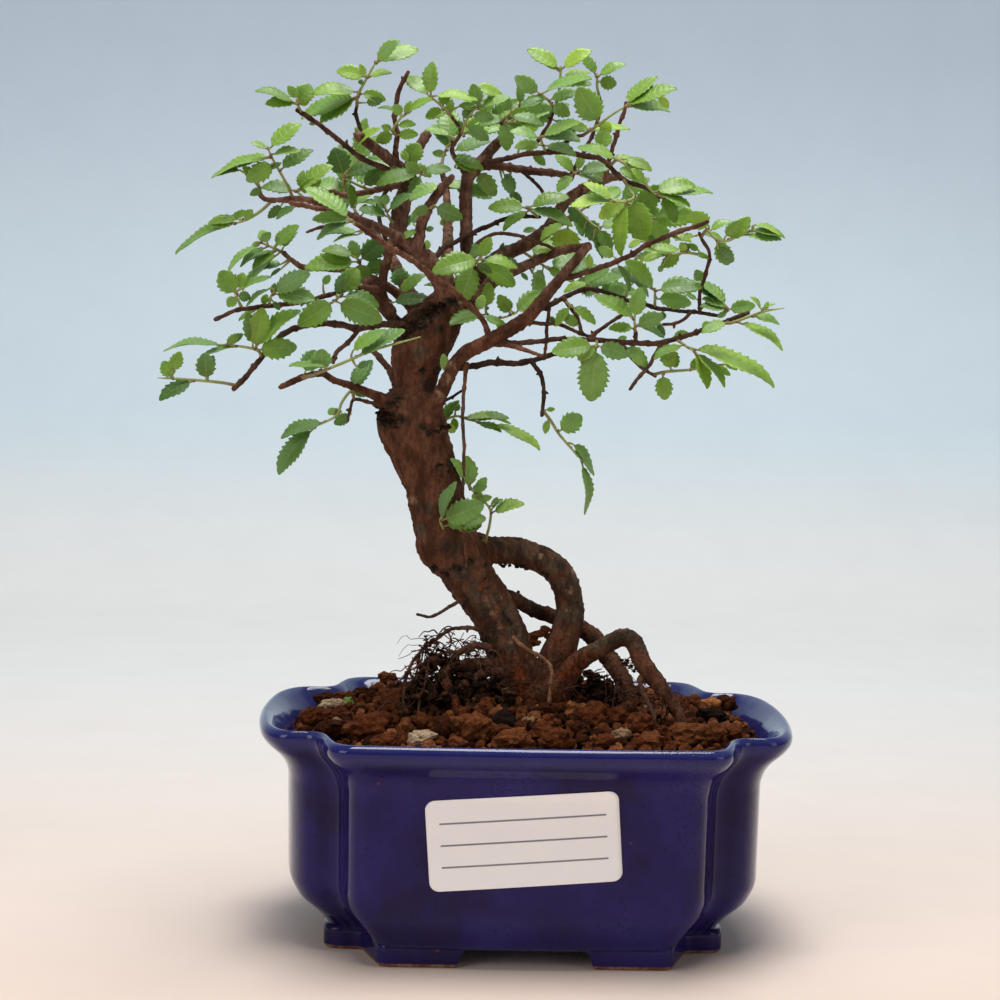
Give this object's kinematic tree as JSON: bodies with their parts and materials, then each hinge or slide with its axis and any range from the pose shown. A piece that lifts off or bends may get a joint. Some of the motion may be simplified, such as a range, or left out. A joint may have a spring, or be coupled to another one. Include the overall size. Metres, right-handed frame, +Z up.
{
  "type": "chinese elm bonsai",
  "caption": "Small deciduous bonsai tree with exposed arching roots, standing in soil in a blue glazed footed pot with notched corners.",
  "frame": {"origin": "on the surface the pot stands on, under the middle of the whole object's box", "axes": "+Z up, +Y from the front of the pot to its back, +X to the right as seen from the front"},
  "size_m": [0.1654, 0.1076, 0.2339],
  "materials": {
    "glaze": "gloss cobalt blue glaze",
    "sticker": "satin blank white sticker",
    "net": "black moulded net",
    "soil": "reddish baked clay granules with peat",
    "bark": "rough reddish brown bark",
    "foliage": "satin toothed green leaves"
  },
  "bodies": {
    "root": {"drain_screen_left": "net", "drain_screen_right": "net", "label": "sticker", "leaves_arch_end": "foliage", "leaves_back_left": "foliage", "leaves_back_low": "foliage", "leaves_back_middle": "foliage", "leaves_back_right": "foliage", "leaves_behind_trunk": "foliage", "leaves_big_centre": "foliage", "leaves_big_pair": "foliage", "leaves_centre_bright": "foliage", "leaves_centre_fan": "foliage", "leaves_centre_left": "foliage", "leaves_centre_low": "foliage", "leaves_centre_right": "foliage", "leaves_collar_shoot": "foliage", "leaves_crossing_shoot": "foliage", "leaves_drooping_shoot": "foliage", "leaves_far_left": "foliage", "leaves_front_leader": "foliage", "leaves_front_tip": "foliage", "leaves_hanging_leaf": "foliage", "leaves_hanging_pair": "foliage", "leaves_high_stub": "foliage", "leaves_high_twig": "foliage", "leaves_kinked_twig": "foliage", "leaves_left_fan": "foliage", "leaves_left_long_shoot": "foliage", "leaves_left_low_mid": "foliage", "leaves_left_mid_tip": "foliage", "leaves_left_middle": "foliage", "leaves_left_round": "foliage", "leaves_low_right": "foliage", "leaves_lower_left": "foliage", "leaves_mid_back": "foliage", "leaves_right_back_end": "foliage", "leaves_right_edge": "foliage", "leaves_right_inner": "foliage", "leaves_right_long": "foliage", "leaves_right_mid": "foliage", "leaves_right_tip": "foliage", "leaves_round_light": "foliage", "leaves_spur": "foliage", "leaves_top_centre": "foliage", "leaves_top_front": "foliage", "leaves_top_left_peak": "foliage", "leaves_top_mid_left": "foliage", "leaves_top_pair": "foliage", "leaves_top_peak": "foliage", "leaves_top_right_peak": "foliage", "leaves_trunk_left": "foliage", "leaves_trunk_right": "foliage", "leaves_upper_left_mid": "foliage", "leaves_upper_left_tip": "foliage", "leaves_upright_shoot": "foliage", "leaves_yellow_shoot": "foliage", "pot": "glaze", "soil": "soil", "trunk_and_branches": "bark"}
  },
  "joints": []
}
